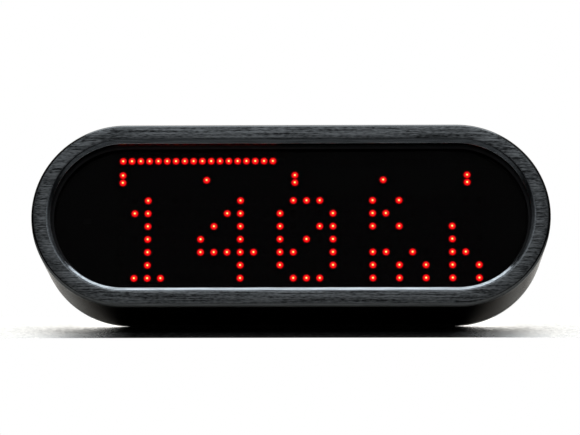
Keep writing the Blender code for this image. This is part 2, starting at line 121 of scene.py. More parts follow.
class Shape:
    """Collects closed surfaces with material slots, then becomes one object."""

    def __init__(self):
        self.verts = []
        self.faces = []
        self.slots = []
        self.glow = []

    def grid(self, rows, slot=0, ring=False, row_slots=None, glow=None):
        """Joins closed loops of points in order. Without ring, the first and last loop are filled in."""
        start = len(self.verts)
        count = len(rows[0])
        for index, row in enumerate(rows):
            self.verts.extend(row)
            self.glow.extend([glow[index] if glow else 0.0] * count)
        spans = len(rows) if ring else len(rows) - 1
        for i in range(spans):
            low, high = start + i * count, start + (i + 1) % len(rows) * count
            for j in range(count):
                k = (j + 1) % count
                self.faces.append((low + j, low + k, high + k, high + j))
                self.slots.append(row_slots[i] if row_slots else slot)
        if not ring:
            self.faces.append(tuple(start + j for j in range(count)))
            self.slots.append(row_slots[0] if row_slots else slot)
            last = start + (len(rows) - 1) * count
            self.faces.append(tuple(last + j for j in range(count)))
            self.slots.append(row_slots[-1] if row_slots else slot)

    def box(self, low, high, slot=0):
        """An upright box between two corners."""
        x0, y0, z0 = low
        x1, y1, z1 = high
        near = [(x0, y0, z0), (x1, y0, z0), (x1, y0, z1), (x0, y0, z1)]
        far = [(x, y1, z) for x, _, z in near]
        self.grid([near, far], slot)

    def become(self, name, materials, replaces=(), body=BODY, sharp=35, weighted=False):
        """Makes the object, lets it ride on a body, and hides the CAD nodes that it replaces."""
        mesh = bpy.data.meshes.new(name)
        mesh.from_pydata(self.verts, [], self.faces)
        for material in materials:
            mesh.materials.append(material)
        mesh.polygons.foreach_set("material_index", self.slots)
        if any(self.glow):
            attribute = mesh.attributes.new("glow", "FLOAT", "POINT")
            attribute.data.foreach_set("value", self.glow)
        bm = bmesh.new()
        bm.from_mesh(mesh)
        bmesh.ops.recalc_face_normals(bm, faces=bm.faces)
        bm.to_mesh(mesh)
        bm.free()
        mesh.shade_smooth()
        mesh.set_sharp_from_angle(angle=math.radians(sharp))
        obj = bpy.data.objects.new(name, mesh)
        bpy.context.scene.collection.objects.link(obj)
        if weighted:
            modifier = obj.modifiers.new("Flat faces stay flat", "WEIGHTED_NORMAL")
            modifier.keep_sharp = True
        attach(obj, body)
        if replaces:
            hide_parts(*replaces)
        return obj


def arc(centre, radius, start, end, steps):
    """Points of a profile's rounded corner, as (radius, y). Angles are in degrees, outward to the rear."""
    turn = math.radians(end - start) / steps
    first = math.radians(start)
    return [
        (centre[0] + radius * math.cos(first + i * turn), centre[1] + radius * math.sin(first + i * turn))
        for i in range(steps + 1)
    ]


def pill_loop(radius, y, steps=END_STEPS):
    """One closed loop round the housing's pill shape."""
    loop = []
    for side in (1, -1):
        for i in range(steps + 1):
            angle = math.pi * (i / steps - 0.5)
            across, up = side * math.cos(angle), side * math.sin(angle)
            loop.append((side * HALF + radius * across, y, MIDDLE + radius * up))
    return loop


def round_loop(centre, radius, y, steps=ROUND_STEPS):
    """One circle about a front-to-back axis. The radius may be a function of the angle."""
    loop = []
    for i in range(steps):
        angle = 2 * math.pi * i / steps
        reach = radius(angle) if callable(radius) else radius
        loop.append((centre[0] + reach * math.cos(angle), y, centre[1] + reach * math.sin(angle)))
    return loop


def hexagon(across_flats):
    """The radius of a hexagon as a function of the angle."""
    return lambda angle: across_flats / 2 / math.cos((angle + math.pi / 6) % (math.pi / 3) - math.pi / 6)


# ---------------------------------------------------------------- materials


def new_material(name, colour, roughness, metallic=0.0):
    material = bpy.data.materials.new(name)
    material.use_nodes = True
    shader = material.node_tree.nodes["Principled BSDF"]
    shader.inputs["Base Color"].default_value = (*colour, 1.0)
    shader.inputs["Roughness"].default_value = roughness
    shader.inputs["Metallic"].default_value = metallic
    return material, material.node_tree.nodes, material.node_tree.links, shader


def noise(nodes, links, scale, detail=3.0, roughness=0.55):
    """A noise whose grain is 1/scale metres along each axis."""
    place = nodes.new("ShaderNodeTexCoord")
    stretch = nodes.new("ShaderNodeMapping")
    stretch.inputs["Scale"].default_value = scale
    links.new(place.outputs["Object"], stretch.inputs["Vector"])
    made = nodes.new("ShaderNodeTexNoise")
    made.inputs["Scale"].default_value = 1.0
    made.inputs["Detail"].default_value = detail
    made.inputs["Roughness"].default_value = roughness
    links.new(stretch.outputs["Vector"], made.inputs["Vector"])
    return made.outputs["Fac"]


def remap(nodes, links, value, low, high, to_low, to_high):
    made = nodes.new("ShaderNodeMapRange")
    for name, number in (("From Min", low), ("From Max", high), ("To Min", to_low), ("To Max", to_high)):
        made.inputs[name].default_value = number
    links.new(value, made.inputs["Value"])
    return made.outputs["Result"]


def calculate(nodes, links, operation, first, second=None):
    made = nodes.new("ShaderNodeMath")
    made.operation = operation
    links.new(first, made.inputs[0])
    if second is not None:
        links.new(second, made.inputs[1])
    return made.outputs[0]


def along_axis(nodes, links, vector, axis):
    """How far a vector points along an axis."""
    made = nodes.new("ShaderNodeVectorMath")
    made.operation = "DOT_PRODUCT"
    made.inputs[1].default_value = axis
    links.new(vector, made.inputs[0])
    return made.outputs["Value"]


def blend_colour(nodes, links, factor, first, second):
    made = nodes.new("ShaderNodeMix")
    made.data_type = "RGBA"
    made.inputs["A"].default_value = (*first, 1.0)
    made.inputs["B"].default_value = (*second, 1.0)
    links.new(factor, made.inputs["Factor"])
    return made.outputs["Result"]


def bump(nodes, links, shader, height, strength, distance):
    made = nodes.new("ShaderNodeBump")
    made.inputs["Strength"].default_value = strength
    made.inputs["Distance"].default_value = distance
    links.new(height, made.inputs["Height"])
    links.new(made.outputs["Normal"], shader.inputs["Normal"])


def brushed_anodised():
    """Black anodised aluminium brushed along X, so that it scatters light up and down."""
    material, nodes, links, shader = new_material("brushed_anodised", (0.05, 0.05, 0.05), 0.4, 0.8)
    long = noise(nodes, links, (60, 3000, 3000), 3.0, 0.5)
    short = noise(nodes, links, (700, 3600, 3600), 3.0, 0.6)
    streak = calculate(nodes, links, "ADD", long, short)
    shade = remap(nodes, links, streak, 0.80, 1.20, 0.0, 1.0)
    colour = blend_colour(nodes, links, shade, (0.008, 0.009, 0.010), (0.200, 0.208, 0.216))
    links.new(colour, shader.inputs["Base Color"])
    links.new(remap(nodes, links, streak, 0.7, 1.3, 0.50, 0.34), shader.inputs["Roughness"])
    shader.inputs["Anisotropic"].default_value = 0.7
    across = nodes.new("ShaderNodeCombineXYZ")
    across.inputs["Z"].default_value = 1.0
    links.new(across.outputs["Vector"], shader.inputs["Tangent"])
    bump(nodes, links, shader, streak, 1.0, 0.025 * MM)
    return material


def polished(name, dark, bright):
    """A machined edge of the housing, cut after the face was brushed and so smoother than it."""
    material, nodes, links, shader = new_material(name, bright, 0.2, 1.0)
    marks = noise(nodes, links, (120, 3200, 3200), 3.0)
    links.new(remap(nodes, links, marks, 0.3, 0.7, 0.12, 0.20), shader.inputs["Roughness"])
    shade = remap(nodes, links, marks, 0.35, 0.65, 0.0, 1.0)
    links.new(blend_colour(nodes, links, shade, dark, bright), shader.inputs["Base Color"])
    bump(nodes, links, shader, marks, 0.25, 0.01 * MM)
    return material


def satin_anodised():
    """Black anodised aluminium as turned and blasted: an even, very fine grain."""
    material, nodes, links, shader = new_material("satin_anodised", (0.03, 0.03, 0.03), 0.3, 1.0)
    shader.inputs["Specular Tint"].default_value = (0.22, 0.21, 0.20, 1.0)
    grain = noise(nodes, links, (3500, 3500, 3500), 2.0)
    patch = noise(nodes, links, (60, 60, 60), 2.0)
    colour = blend_colour(nodes, links, patch, (0.040, 0.040, 0.042), (0.055, 0.055, 0.057))
    links.new(colour, shader.inputs["Base Color"])
    links.new(remap(nodes, links, grain, 0.3, 0.7, 0.16, 0.26), shader.inputs["Roughness"])
    bump(nodes, links, shader, grain, 0.10, 0.01 * MM)
    return material


def blasted_anodised():
    """Black anodised aluminium with the coarser, duller grain of bead blasting."""
    material, nodes, links, shader = new_material("blasted_anodised", (0.03, 0.03, 0.03), 0.45)
    grain = noise(nodes, links, (4200, 4200, 4200), 2.0)
    patch = noise(nodes, links, (45, 45, 45), 3.0)
    colour = blend_colour(nodes, links, patch, (0.026, 0.026, 0.028), (0.044, 0.044, 0.047))
    links.new(colour, shader.inputs["Base Color"])
    links.new(remap(nodes, links, grain, 0.3, 0.7, 0.36, 0.52), shader.inputs["Roughness"])
    bump(nodes, links, shader, grain, 0.25, 0.01 * MM)
    return material


def smoked_window():
    """Dark tinted acrylic with a hard coat, which lets the red of the LEDs through."""
    material, nodes, links, shader = new_material("smoked_window", (0.0006, 0.0002, 0.0002), 0.04)
    shader.inputs["IOR"].default_value = 1.49
    shader.inputs["Specular IOR Level"].default_value = 0.04
    shader.inputs["Alpha"].default_value = 0.6
    smear = noise(nodes, links, (90, 90, 90), 3.0)
    links.new(remap(nodes, links, smear, 0.35, 0.7, 0.03, 0.09), shader.inputs["Roughness"])
    return material


def rubber(name="black_rubber", colour=(0.012, 0.012, 0.013)):
    material, nodes, links, shader = new_material(name, colour, 0.7)
    shader.inputs["Specular IOR Level"].default_value = 0.35
    grain = noise(nodes, links, (2600, 2600, 2600), 3.0)
    links.new(remap(nodes, links, grain, 0.3, 0.7, 0.58, 0.80), shader.inputs["Roughness"])
    lighter = tuple(c * 1.9 for c in colour)
    patch = noise(nodes, links, (180, 180, 180), 2.0)
    links.new(blend_colour(nodes, links, patch, colour, lighter), shader.inputs["Base Color"])
    bump(nodes, links, shader, grain, 0.25, 0.02 * MM)
    return material


def moulded(name, colour, roughness, shine=0.5):
    """Moulded plastic or epoxy with a fine spark-eroded grain."""
    material, nodes, links, shader = new_material(name, colour, roughness)
    shader.inputs["Specular IOR Level"].default_value = shine
    grain = noise(nodes, links, (3000, 3000, 3000), 3.0)
    dullness = remap(nodes, links, grain, 0.3, 0.7, roughness - 0.1, roughness + 0.1)
    links.new(dullness, shader.inputs["Roughness"])
    lighter = tuple(c * 1.6 for c in colour)
    patch = noise(nodes, links, (250, 250, 250), 2.0)
    links.new(blend_colour(nodes, links, patch, colour, lighter), shader.inputs["Base Color"])
    bump(nodes, links, shader, grain, 0.2, 0.01 * MM)
    return material


def metal(name, colour, roughness, scale=(900, 900, 900), wear=0.12):
    """Bare or plated metal with machining marks and faint tarnish."""
    material, nodes, links, shader = new_material(name, colour, roughness, 1.0)
    marks = noise(nodes, links, scale, 3.0)
    dullness = remap(nodes, links, marks, 0.3, 0.7, roughness - 0.07, roughness + 0.10)
    links.new(dullness, shader.inputs["Roughness"])
    darker = tuple(c * 0.72 for c in colour)
    patch = noise(nodes, links, (320, 320, 320), 3.0)
    links.new(blend_colour(nodes, links, patch, darker, colour), shader.inputs["Base Color"])
    bump(nodes, links, shader, marks, wear, 0.01 * MM)
    return material


def lit_led():
    """A lit LED's lens: a yellow-white die in the middle and saturated red towards its rim."""
    material, nodes, links, shader = new_material("lit_led", (0.25, 0.01, 0.005), 0.3)
    glow = nodes.new("ShaderNodeAttribute")
    glow.attribute_name = "glow"
    ramp = nodes.new("ShaderNodeValToRGB")
    stops = (
        (0.0, (0.225, 0.0, 0.0003)),
        (0.08, (0.265, 0.0001, 0.0006)),
        (0.18, (0.315, 0.0002, 0.001)),
        (0.30, (0.365, 0.0004, 0.002)),
        (0.45, (0.39, 0.0015, 0.004)),
        (0.60, (0.39, 0.010, 0.010)),
        (0.73, (0.39, 0.10, 0.035)),
        (0.84, (0.40, 0.55, 0.10)),
        (1.0, (0.45, 1.0, 0.18)),
    )
    elements = ramp.color_ramp.elements
    while len(elements) < len(stops):
        elements.new(0.5)
    for element, (place, colour) in zip(elements, stops):
        element.position = place
        element.color = (*colour, 1.0)
    links.new(glow.outputs["Fac"], ramp.inputs["Fac"])
    links.new(ramp.outputs["Color"], shader.inputs["Emission Color"])
    shader.inputs["Emission Strength"].default_value = 16
    return material


def dark_led():
    material, nodes, links, shader = new_material("dark_led", (0.004, 0.0005, 0.0004), 0.25)
    shader.inputs["Specular IOR Level"].default_value = 0.1
    cloud = noise(nodes, links, (900, 900, 900), 2.0)
    colour = blend_colour(nodes, links, cloud, (0.003, 0.0006, 0.0005), (0.008, 0.001, 0.0008))
    links.new(colour, shader.inputs["Base Color"])
    return material


def circuit_board(name, colour, shine):
    """Solder mask over copper: straight tracks show as faint raised lines."""
    material, nodes, links, shader = new_material(name, colour, 0.42)
    shader.inputs["Specular IOR Level"].default_value = shine
    place = nodes.new("ShaderNodeTexCoord")
    stretch = nodes.new("ShaderNodeMapping")
    stretch.inputs["Scale"].default_value = (420, 1, 420)
    links.new(place.outputs["Object"], stretch.inputs["Vector"])
    tracks = nodes.new("ShaderNodeTexBrick")
    tracks.inputs["Scale"].default_value = 1.0
    tracks.offset = 0.37
    tracks.inputs["Mortar Size"].default_value = 0.05
    tracks.inputs["Brick Width"].default_value = 11
    tracks.inputs["Row Height"].default_value = 0.34
    turn = nodes.new("ShaderNodeMapping")
    turn.inputs["Rotation"].default_value = (math.pi / 2, 0, 0)
    links.new(stretch.outputs["Vector"], turn.inputs["Vector"])
    links.new(turn.outputs["Vector"], tracks.inputs["Vector"])
    lighter = tuple(c * 1.7 for c in colour)
    links.new(blend_colour(nodes, links, tracks.outputs["Fac"], colour, lighter), shader.inputs["Base Color"])
    bump(nodes, links, shader, tracks.outputs["Fac"], 0.4, 0.03 * MM)
    return material


MATERIALS = {
    "brushed": brushed_anodised(),
    "satin": satin_anodised(),
    "blasted": blasted_anodised(),
    "lip": polished("polished_lip", (0.15, 0.16, 0.17), (0.32, 0.34, 0.36)),
    "edge": polished("polished_edge", (0.075, 0.078, 0.08), (0.115, 0.118, 0.12)),
    "window": smoked_window(),
    "rubber": rubber(),
    "button": rubber("button_rubber", (0.016, 0.016, 0.017)),
    "lit": lit_led(),
    "dark": dark_led(),
    "led_body": moulded("led_body", (0.0015, 0.0014, 0.0014), 0.6, shine=0.1),
    "board": circuit_board("black_board", (0.0012, 0.0014, 0.0014), 0.08),
    "logic": circuit_board("green_board", (0.008, 0.040, 0.018), 0.5),
    "chip": moulded("chip_epoxy", (0.018, 0.018, 0.020), 0.5),
    "plastic": moulded("black_plastic", (0.016, 0.016, 0.017), 0.5),
    "steel": metal("zinc_plated_steel", (0.60, 0.60, 0.62), 0.30),
    "nickel": metal("nickel_plate", (0.66, 0.63, 0.58), 0.26, (900, 1600, 900), wear=0.03),
    "tin": metal("tin_plate", (0.72, 0.72, 0.71), 0.42, wear=0.05),
    "brass": metal("gold_contact", (0.80, 0.56, 0.22), 0.25),
}
LED_MATERIALS = [MATERIALS[name] for name in ("led_body", "lit", "dark")]
BODY_SLOT, LIT_SLOT, DARK_SLOT = range(3)


# ---------------------------------------------------------------- front


def make_housing():
    """One profile carried round the pill: outer rounding, brushed face, bevel, pocket and rear edge."""
    shape = Shape()
    back = HOUSING_HIGH.y
    opening = RADIUS - RIM
    turned = math.radians(CROWN)
    lip_edge = opening + LIP_WIDTH
    flat_end = lip_edge + FLAT
    face_out = RADIUS - OUTER_ROUND * (1 - math.sin(turned))
    crown = (face_out - flat_end) / math.sin(turned)
    drop = crown * (1 - math.cos(turned))
    outer_middle = (RADIUS - OUTER_ROUND, FRONT + drop + OUTER_ROUND * math.cos(turned))
    edge = arc(outer_middle, OUTER_ROUND, 0, CROWN - 90, 12)
    face = arc((flat_end, FRONT + crown), crown, CROWN - 90, -90, 8)[1:]
    bevel = -90 - LIP_SLOPE
    start = LIP_BLEND * math.tan(math.radians(LIP_SLOPE / 2))
    end = LIP_EDGE * math.tan(math.radians((90 - LIP_SLOPE) / 2))
    depth = LIP_WIDTH * math.tan(math.radians(LIP_SLOPE))
    lip = arc((lip_edge + start, FRONT + LIP_BLEND), LIP_BLEND, -90, bevel, 8)
    lip += arc((opening + LIP_EDGE, FRONT + depth + end), LIP_EDGE, bevel, -180, 5)
    shoulder = FRONT + RECESS
    pocket = [(opening, shoulder), (RADIUS - WALL, shoulder), (RADIUS - WALL, back)]
    rear = arc((RADIUS - REAR_ROUND, back - REAR_ROUND), REAR_ROUND, 90, 0, 4)
    profile = edge + face + lip + pocket + rear
    finishes = ["brushed", "satin", "lip", "edge"]
    blended = 4  # steps of the blend that are still brushed
    spans = (
        ("edge", len(edge) - 1),
        ("brushed", len(face) + 1 + blended),
        ("lip", len(lip) - blended),
        ("satin", len(pocket) + len(rear)),
    )
    slots = [finishes.index(finish) for finish, count in spans for _ in range(count)]
    shape.grid([pill_loop(radius, y) for radius, y in profile], ring=True, row_slots=slots)
    materials = [MATERIALS[name] for name in finishes]
    shape.become("housing_shell", materials, ["housing"], weighted=True)


def make_window():
    """The window and the seal round it."""
    low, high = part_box("window_lens")
    radius = (high.z - low.z) / 2
    edge = 0.15 * MM
    profile = [(radius - edge, low.y), (radius, low.y + edge)]
    profile += [(radius, high.y - edge), (radius - edge, high.y)]
    shape = Shape()
    shape.grid([pill_loop(r, y) for r, y in profile])
    shape.become("smoked_window", [MATERIALS["window"]], ["window_lens"], sharp=20)
    low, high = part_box("window_gasket")
    outer = (high.z - low.z) / 2
    showing = 0.5 * MM  # how far the seal reaches in past the bezel
    inner = RADIUS - RIM - showing
    middle, thick = (low.y + high.y) / 2, (high.y - low.y) / 2
    profile = arc((inner + thick, middle), thick, 90, 270, 8) + [(outer, low.y), (outer, high.y)]
    shape = Shape()
    shape.grid([pill_loop(r, y) for r, y in profile], ring=True)
    shape.become("window_seal", [MATERIALS["rubber"]], ["window_gasket"])


def add_led(shape, x, z, low_y, high_y, size, lit):
    """One chip LED: a square black body with a round domed lens set in its face."""
    body_front = low_y + 0.25 * MM
    dome = 0.24 * MM
    sunk = 0.05 * MM
    half = size / 2
    tip = 0.06 * half
    shape.box((x - half, body_front, z - half), (x + half, high_y, z + half), BODY_SLOT)
    rows, glow = [], []
    steps, sides = 6, 16
    for i in range(steps + 1):
        angle = math.pi / 2 * i / steps
        reach = half * math.cos(angle) if i < steps else tip
        rows.append(round_loop((x, z), reach, body_front - dome * math.sin(angle), sides))
        glow.append(1 - reach / half)
    under = round_loop((x, z), half, body_front + sunk, sides)
    shape.grid([under] + rows, LIT_SLOT if lit else DARK_SLOT, glow=[0.0] + glow)


def lit_columns(row):
    """The columns that are lit in a row of the matrix, counted from the top."""
    found = set()
    for first, glyph in GLYPHS:
        found |= {first + i for i, dot in enumerate(glyph[row]) if dot == "#"}
    return found


def make_led_row(node, piece, count, lit):
    """A row of LEDs spread evenly over a node's box."""
    low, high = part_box(node)
    size = high.z - low.z
    pitch = (high.x - low.x - size) / (count - 1)
    shape = Shape()
    for i in range(count):
        x = low.x + size / 2 + i * pitch
        add_led(shape, x, (low.z + high.z) / 2, low.y, high.y, size, i in lit)
    shape.become(piece, LED_MATERIALS, [node])


def make_leds():
    for row in range(ROWS):
        make_led_row(f"matrix_row_{row + 1}", f"dot_row_{row + 1}", COLUMNS, lit_columns(row))
    make_led_row("rev_bar_leds", "rev_bar", BAR_COUNT, set(range(BAR_LIT)))
    for mark in range(1, SCALE_MARKS + 1):
        node = f"scale_led_{mark}"
        low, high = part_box(node)
        size = high.x - low.x
        shape = Shape()
        heights = [low.z + size / 2, high.z - size / 2] if mark in SCALE_PAIRS else [(low.z + high.z) / 2]
        for z in heights:
            add_led(shape, (low.x + high.x) / 2, z, low.y, high.y, size, True)
        shape.become(f"scale_mark_{mark}", LED_MATERIALS, [node])


# ---------------------------------------------------------------- rear


def box_of(node):
    """The node's middle across, its size up, and its near and far depth."""
    low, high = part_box(node)
    return ((low.x + high.x) / 2, (low.z + high.z) / 2), (high.z - low.z) / 2, low.y, high.y


def cut(obj, rods):
    """Cuts tapered rods out of an object, each (centre, near radius, far radius, near y, far y)."""
    shape = Shape()
    for centre, near_radius, far_radius, near, far in rods:
        shape.grid([round_loop(centre, near_radius, near), round_loop(centre, far_radius, far)])
    cutter = shape.become("cutter", [])
    modifier = obj.modifiers.new("Cut", "BOOLEAN")
    modifier.object = cutter
    graph = bpy.context.evaluated_depsgraph_get()
    mesh = bpy.data.meshes.new_from_object(obj.evaluated_get(graph))
    obj.modifiers.clear()
    obj.data = mesh
    bpy.data.objects.remove(cutter)
    mesh.shade_smooth()
    mesh.set_sharp_from_angle(angle=math.radians(30))


def make_cover():
    """The back plate with its spigot and seal groove, and the holes through it."""
    back = COVER_HIGH.y
    plate = back - PLATE
    edge = (COVER_HIGH.z - COVER_LOW.z) / 2
    core = 0.3 * MM
    soft = 0.4 * MM
    spigot = RADIUS - WALL - 0.3 * MM
    hollow, groove = spigot - 3.0 * MM, spigot - 1.2 * MM
    groove_low, groove_high = plate - 2.3 * MM, plate - 0.7 * MM
    end = plate - 2.7 * MM
    profile = [(core, plate), (hollow, plate), (hollow, end), (spigot, end), (spigot, groove_low)]
    profile += [(groove, groove_low), (groove, groove_high), (spigot, groove_high), (spigot, plate)]
    profile += [(edge, plate)] + arc((edge - soft, back - soft), soft, 0, 90, 5)
    profile += [(edge - 3 * MM, back), (core, back)]
    shape = Shape()
    shape.grid([pill_loop(r, y) for r, y in profile])
    cover = shape.become("back_plate", [MATERIALS["blasted"]], ["rear_cover"])
    rods = []

    def bore(centre, radius, depth=PLATE + PAST):
        rods.append((centre, radius, radius, back - depth, back + PAST))

    screw_hole = 1.15 * MM
    sink = 1.15 * MM
    for i in range(1, SCREWS + 1):
        centre, head, _, _ = box_of(f"cover_screw_{i}")
        bore(centre, screw_hole)
        rods.append((centre, 1.0 * MM, head + HOLE_GAP, back - sink, back + 0.01 * MM))
    for side in ("left", "right"):
        centre, radius, _, _ = box_of(f"mount_stud_{side}")
        bore(centre, radius + HOLE_GAP)
    centre, _, _, _ = box_of("mode_button")
    bore(centre, BUTTON_STEM + 0.3 * MM)
    seal_seat, seal_depth = 3.8 * MM, 1.4 * MM
    bore(centre, seal_seat, seal_depth)
    bore((0, MIDDLE), COLLAR + 0.3 * MM)
    cut(cover, rods)


def make_screw(number):
    """A countersunk screw with a hexagon socket."""
    centre, head, near, far = box_of(f"cover_screw_{number}")
    shank, chamfer, neck = 0.98 * MM, 0.25 * MM, 0.9 * MM
    key = hexagon(1.25 * MM)
    mouth, lead, well = 0.85 * MM, 0.1 * MM, 0.7 * MM
    profile = [(shank - chamfer, near), (shank, near + chamfer), (shank, far - neck)]
    profile += [(head - 0.05 * MM, far - 0.06 * MM), (head - 0.1 * MM, far), (mouth, far)]
    profile += [(key, far - lead), (key, far - well)]
    shape = Shape()
    shape.grid([round_loop(centre, reach, y) for reach, y in profile])
    shape.become(f"back_screw_{number}", [MATERIALS["steel"]], [f"cover_screw_{number}"])


def thread_rows(centre, radius, near, far, pitch, depth):
    """Loops of a screw thread: the radius falls and rises once a pitch, shifted round the circle."""
    rows = []
    per_pitch = 6
    count = round((far - near) / pitch * per_pitch)
    for i in range(count + 1):
        y = near + (far - near) * i / count
        fade = min(1.0, (y - near) / pitch, (far - y) / pitch)

        def reach(angle, y=y, fade=fade):
            phase = (y / pitch - angle / (2 * math.pi)) % 1.0
            return radius - depth * fade * (1 - abs(2 * phase - 1))

        rows.append(round_loop(centre, reach, y))
    return rows


def make_mount(side):
    """A threaded stud with its rubber buffer, washer and nut."""
    centre, radius, near, far = box_of(f"mount_stud_{side}")
    chamfer = 0.5 * MM
    shape = Shape()
    rows = [round_loop(centre, radius - chamfer, near), round_loop(centre, radius, near + chamfer)]
    rows += thread_rows(centre, radius, near + chamfer, far - chamfer, pitch=0.8 * MM, depth=0.42 * MM)
    rows += [round_loop(centre, radius - chamfer, far)]
    shape.grid(rows)
    shape.become(f"stud_{side}", [MATERIALS["steel"]], [f"mount_stud_{side}"], sharp=50)

    hole = radius + HOLE_GAP
    centre, outer, near, far = box_of(f"mount_buffer_{side}")
    plate, corner, step, waist = 0.9 * MM, 0.2 * MM, 0.1 * MM, 0.35 * MM
    shape = Shape()
    profile = [(hole, near), (outer - corner, near), (outer, near + corner), (outer, near + plate)]
    spans = 10
    for i in range(spans + 1):
        along = i / spans
        y = near + plate + (far - near - 2 * plate) * along
        profile.append((outer - waist * math.sin(math.pi * along) - step, y))
    profile += [(outer, far - plate), (outer, far - corner), (outer - corner, far), (hole, far)]
    shape.grid([round_loop(centre, r, y, 64) for r, y in profile], ring=True)
    shape.become(f"buffer_{side}", [MATERIALS["rubber"]], [f"mount_buffer_{side}"])

    centre, outer, near, far = box_of(f"stud_washer_{side}")
    soft, bevel = 0.2 * MM, 0.1 * MM
    profile = arc((outer - soft, near + soft), soft, -90, 0, 3)
    profile += arc((outer - soft, far - soft), soft, 0, 90, 3)
    profile += [(hole + bevel, far), (hole, far - bevel), (hole, near + bevel), (hole + bevel, near)]
    shape = Shape()
    shape.grid([round_loop(centre, r, y) for r, y in profile], ring=True)
    shape.become(f"washer_{side}", [MATERIALS["steel"]], [f"stud_washer_{side}"])

    centre, _, near, far = box_of(f"stud_nut_{side}")
    outline = hexagon(8.0 * MM)
    seat = 3.95 * MM
    slope = math.tan(math.radians(30))
    steps, bevel = 96, 0.4 * MM
    shape = Shape()

    def flat(angle):
        return min(outline(angle), seat)

    def chamfered(y, sign):
        loop = []
        for i in range(steps):
            angle = 2 * math.pi * i / steps
            reach = outline(angle)
            drop = max(0.0, reach - seat) * slope
            x, z = centre[0] + reach * math.cos(angle), centre[1] + reach * math.sin(angle)
            loop.append((x, y + sign * drop, z))
        return loop

    def circle(reach, y):
        return round_loop(centre, reach, y, steps)

    rows = [circle(hole, near + bevel), circle(hole + bevel, near), circle(flat, near), chamfered(near, 1)]
    rows += [chamfered(far, -1), circle(flat, far), circle(hole + bevel, far), circle(hole, far - bevel)]
    shape.grid(rows, ring=True)
    shape.become(f"nut_{side}", [MATERIALS["steel"]], [f"stud_nut_{side}"], sharp=25)


def make_socket():
    """The cable socket's threaded shell, its core and its ring of contacts round a middle one."""
    centre, flange, near, far = box_of("socket_shell")
    bore, neck = 4.7 * MM, COLLAR - 0.4 * MM
    step = COVER_HIGH.y + 1.1 * MM
    top = step + 2.0 * MM
    thread_start, thread_end = top + 0.6 * MM, far - 0.5 * MM
    soft = 0.3 * MM
    profile = [(bore, near), (COLLAR, near), (COLLAR, step)]
    profile += arc((flange - soft, step + soft), soft, -90, 0, 3)
    profile += arc((flange - soft, top - soft), soft, 0, 90, 3)
    profile += [(neck, top), (neck, thread_start)]
    lead = [(COLLAR - 0.5 * MM, far), (bore + soft, far), (bore, far - soft)]
    rows = [round_loop(centre, r, y) for r, y in profile]
    rows += thread_rows(centre, COLLAR, thread_start, thread_end, pitch=1.0 * MM, depth=0.5 * MM)
    rows += [round_loop(centre, r, y) for r, y in lead]
    shape = Shape()
    shape.grid(rows, ring=True)
    shape.become("cable_socket", [MATERIALS["nickel"]], ["socket_shell"], sharp=40)

    centre, core, near, far = box_of("socket_insert")
    profile = [(core, near), (core, far - soft), (core - soft, far)]
    shape = Shape()
    shape.grid([round_loop(centre, r, y) for r, y in profile])
    insert = shape.become("socket_core", [MATERIALS["plastic"]], ["socket_insert"])
    pins, ring = 7, 2.6 * MM
    places = [centre]
    for i in range(pins):
        angle = 2 * math.pi * i / pins
        places.append((centre[0] + ring * math.cos(angle), centre[1] + ring * math.sin(angle)))
    hole, depth = 0.62 * MM, 4.0 * MM
    cut(insert, [(place, hole, hole, far - depth, far + PAST) for place in places])
    inner, outer, foot = 0.34 * MM, 0.56 * MM, far - 3.8 * MM
    tube = [(inner, foot), (outer, foot), (outer, far - 0.15 * MM)]
    tube += [(0.5 * MM, far - 0.05 * MM), (0.40 * MM, far - 0.05 * MM), (inner, far - 0.2 * MM)]
    for i, place in enumerate(places, 1):
        shape = Shape()
        shape.grid([round_loop(place, r, y, 16) for r, y in tube], ring=True)
        shape.become(f"contact_{i}", [MATERIALS["brass"]])


def make_button():
    """A rubber button with a groove in its cap, kept in by a collar inside the back plate."""
    centre, cap, near, far = box_of("mode_button")
    stem, collar = BUTTON_STEM, BUTTON_STEM + 1.2 * MM
    under = COVER_HIGH.y + BUTTON_RISE
    plate = COVER_HIGH.y - PLATE
    collar_near, collar_far = plate - 1.4 * MM, plate - 0.6 * MM
    soft, groove = 0.8 * MM, far - 0.25 * MM
    profile = [(stem, near), (stem, collar_near), (collar, collar_near), (collar, collar_far)]
    profile += [(stem, collar_far), (stem, under), (cap, under)]
    profile += arc((cap - soft, far - soft), soft, 0, 90, 6)
    profile += [(cap - 1.3 * MM, far), (cap - 1.5 * MM, groove), (cap - 1.9 * MM, groove)]
    profile += [(cap - 2.1 * MM, far - 0.02 * MM), (0.6 * MM, far - 0.12 * MM)]
    shape = Shape()
    shape.grid([round_loop(centre, r, y) for r, y in profile])
    shape.become("set_button", [MATERIALS["button"]], ["mode_button"], body="button")


# ---------------------------------------------------------------- inside


def block_loop(low, high, inset, y):
    """A rectangle with cut corners, between a box's sides."""
    x0, x1, z0, z1 = low.x + inset, high.x - inset, low.z + inset, high.z - inset
    c = 0.2 * MM  # how much each corner is cut by
    right = [(x0 + c, y, z0), (x1 - c, y, z0), (x1, y, z0 + c), (x1, y, z1 - c)]
    left = [(x1 - c, y, z1), (x0 + c, y, z1), (x0, y, z1 - c), (x0, y, z0 + c)]
    return right + left


def add_leg(shape, root, out, width, reach, high, foot):
    """A flat leg that leaves a chip sideways, bends down and ends in a foot on the board."""
    across = Vector((out.z, 0, -out.x)) * width / 2
    up = Vector((0, 0.08 * MM, 0))
    corners = (across + up, up - across, -across - up, across - up)
    path = ((-0.3, high), (0.3, high), (0.42, high - 0.1 * MM), (0.55, foot), (1.0, foot))
    rows = []
    for share, y in path:
        middle = root + out * reach * share
        middle.y = y
        rows.append([tuple(middle + corner) for corner in corners])
    shape.grid(rows)


